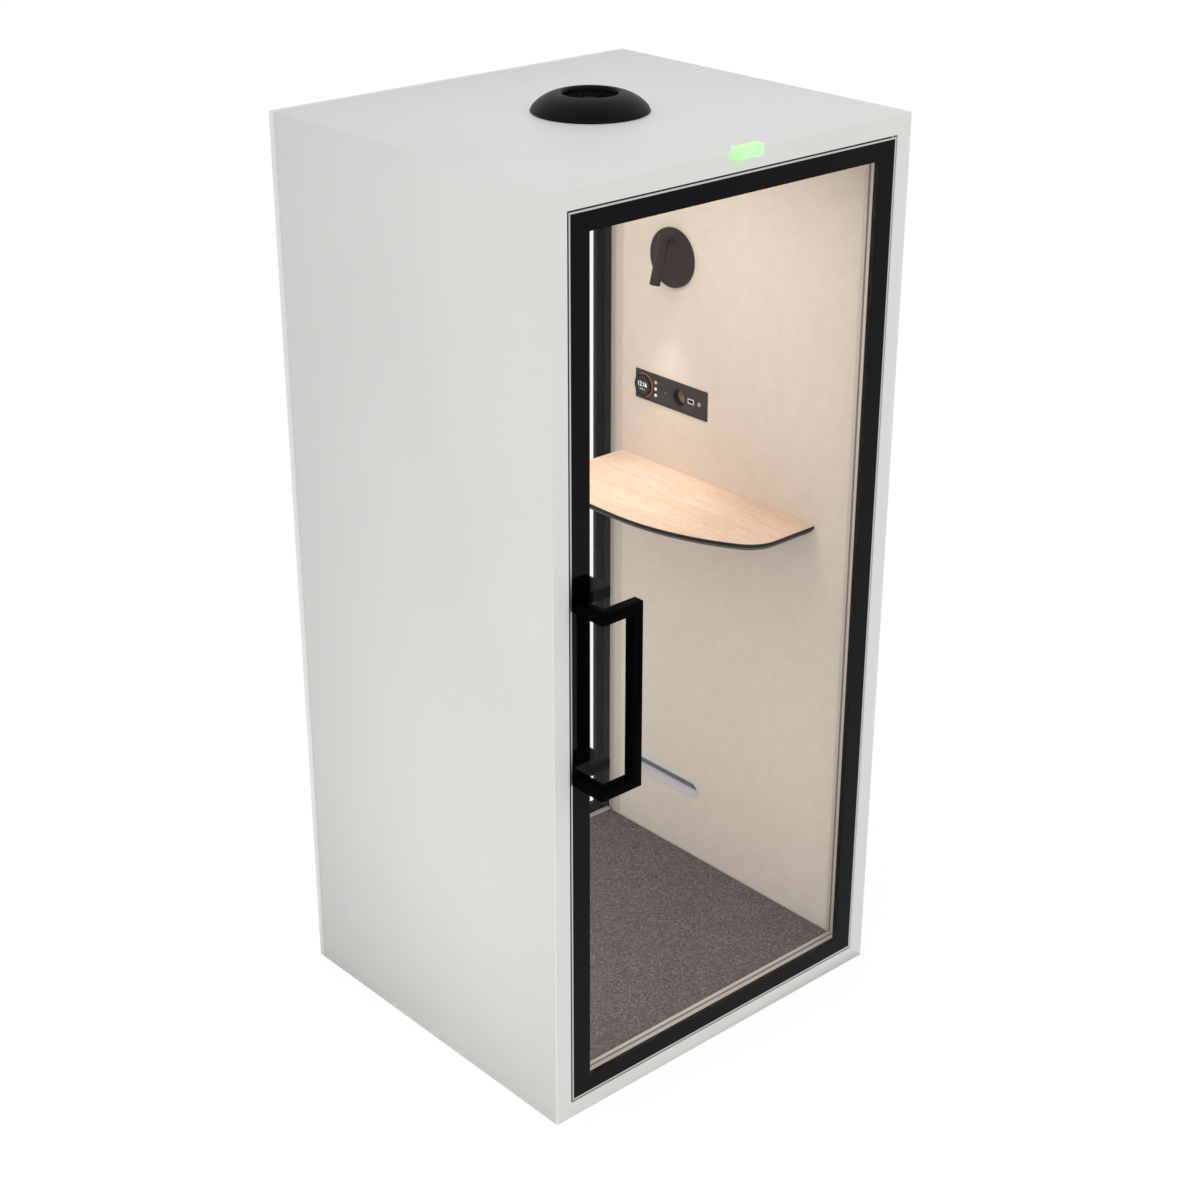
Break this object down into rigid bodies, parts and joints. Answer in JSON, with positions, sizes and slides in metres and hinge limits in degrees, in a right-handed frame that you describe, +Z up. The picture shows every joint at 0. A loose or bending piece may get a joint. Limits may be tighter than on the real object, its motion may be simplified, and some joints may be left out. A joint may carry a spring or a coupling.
{
  "type": "acoustic office pod",
  "caption": "Free-standing one-person acoustic pod: white steel casing, pivoted glass door, glazed rear wall, felt-lined cabin with shelf desk, lamp, service panel and roof outlet.",
  "frame": {"origin": "on the floor, under the middle of the overall box with the outer door handle included, so the casing's own middle lies 43.5 mm behind it in +Y", "axes": "+X to the right along the door face seen from outside, +Y from the door into the pod, +Z up"},
  "size_m": [1, 0.987, 2.14],
  "materials": {
    "casing": "satin white powder coat",
    "frame_cream": "satin light grey-beige coat",
    "felt": "pressed beige polyester felt",
    "core": "bonded acoustic wool",
    "carpet": "speckled grey needle felt",
    "deck": "plywood",
    "ceiling": "pressed light felt",
    "strip": "matt grey",
    "seal": "matt black",
    "clear_glass": "polished",
    "enamel": "glossy black band behind the glass",
    "edge_profile": "satin anodised",
    "black_metal": "satin black powder coat",
    "fixings": "plain",
    "bearing": "plain",
    "foot": "moulded",
    "oak": "matt lacquered oak",
    "laminate": "matt",
    "grey_board": "matt",
    "grey_metal": "matt",
    "panel_black": "satin",
    "inner_black": "matt",
    "screen": "gloss",
    "port_metal": "satin",
    "vent_grey": "satin",
    "dome_grey": "satin",
    "button_grey": "satin",
    "lens": "frosted, lit",
    "status": "lit, pale green"
  },
  "bodies": {
    "pod": {"feet": "foot", "floor_deck": "deck", "carpet": "carpet", "sill": "frame_cream", "frame_strips": "strip", "kick_plate": "casing", "skirtings": "frame_cream", "left_shell": "casing", "right_shell": "casing", "roof_shell": "casing", "rear_frame": "casing", "left_core": "core", "right_core": "core", "roof_core": "core", "left_felt": "felt", "right_felt": "felt", "ceiling_panel": "ceiling", "front_post_left": "frame_cream", "front_post_right": "frame_cream", "front_header": "frame_cream", "rear_post_left": "frame_cream", "rear_post_right": "frame_cream", "rear_header": "frame_cream", "rear_sill": "frame_cream", "seals": "seal", "rear_glass": "clear_glass", "rear_band": "enamel", "pivot_bearings": "bearing", "desk_top": "oak", "desk_core": "laminate", "desk_plate": "grey_board", "desk_brackets": "grey_metal", "lamp_plate": "black_metal", "panel_plate": "panel_black", "panel_box": "inner_black", "display": "screen", "socket": "inner_black", "ports": "port_metal", "vent_scoop": "vent_grey", "vent_grille": "inner_black", "outlet_dome": "dome_grey", "outlet_grille": "inner_black", "fan_frame": "inner_black", "status_light": "status", "mains_inlet": "inner_black"},
    "door": {"door_glass": "clear_glass", "door_band": "enamel", "door_profile": "edge_profile", "handle_out": "black_metal", "handle_in": "black_metal", "door_pins": "fixings", "handle_bolts": "fixings"},
    "lamp_arm": {"lamp_arm": "black_metal"},
    "lamp_head": {"lamp_head": "black_metal", "lamp_lens": "lens"},
    "dial": {"dial_ring": "panel_black"},
    "button_a": {"button_a": "button_grey"},
    "button_b": {"button_b": "button_grey"},
    "button_c": {"button_c": "button_grey"},
    "rotor": {"fan_rotor": "inner_black"}
  },
  "joints": [
    {"name": "door_hinge", "type": "hinge", "parent": "pod", "child": "door", "pos_m": [0.4463, -0.4005, 0], "axis": [0, 0, 1], "range_deg": [0, 105]},
    {"name": "lamp_swivel", "type": "hinge", "parent": "pod", "child": "lamp_arm", "pos_m": [0.41, 0.2475, 1.696], "axis": [1, 0, 0], "range_deg": [-90, 90]},
    {"name": "lamp_tilt", "type": "hinge", "parent": "lamp_arm", "child": "lamp_head", "pos_m": [0.41, 0.2475, 1.696], "axis": [0, 1, 0], "range_deg": [-14.8, 75.2]},
    {"name": "dial_turn", "type": "hinge", "parent": "pod", "child": "dial", "pos_m": [0.443, 0.3425, 1.314], "axis": [1, 0, 0], "continuous": true},
    {"name": "fan_spin", "type": "hinge", "parent": "pod", "child": "rotor", "pos_m": [0, 0.0435, 2.08], "axis": [0, 0, 1], "continuous": true},
    {"name": "press_a", "type": "slide", "parent": "pod", "child": "button_a", "axis": [1, 0, 0], "range_m": [0, 0.001], "stiffness_N_per_m": 400, "springref_m": -0.001},
    {"name": "press_b", "type": "slide", "parent": "pod", "child": "button_b", "axis": [1, 0, 0], "range_m": [0, 0.001], "stiffness_N_per_m": 400, "springref_m": -0.001},
    {"name": "press_c", "type": "slide", "parent": "pod", "child": "button_c", "axis": [1, 0, 0], "range_m": [0, 0.001], "stiffness_N_per_m": 400, "springref_m": -0.001}
  ]
}
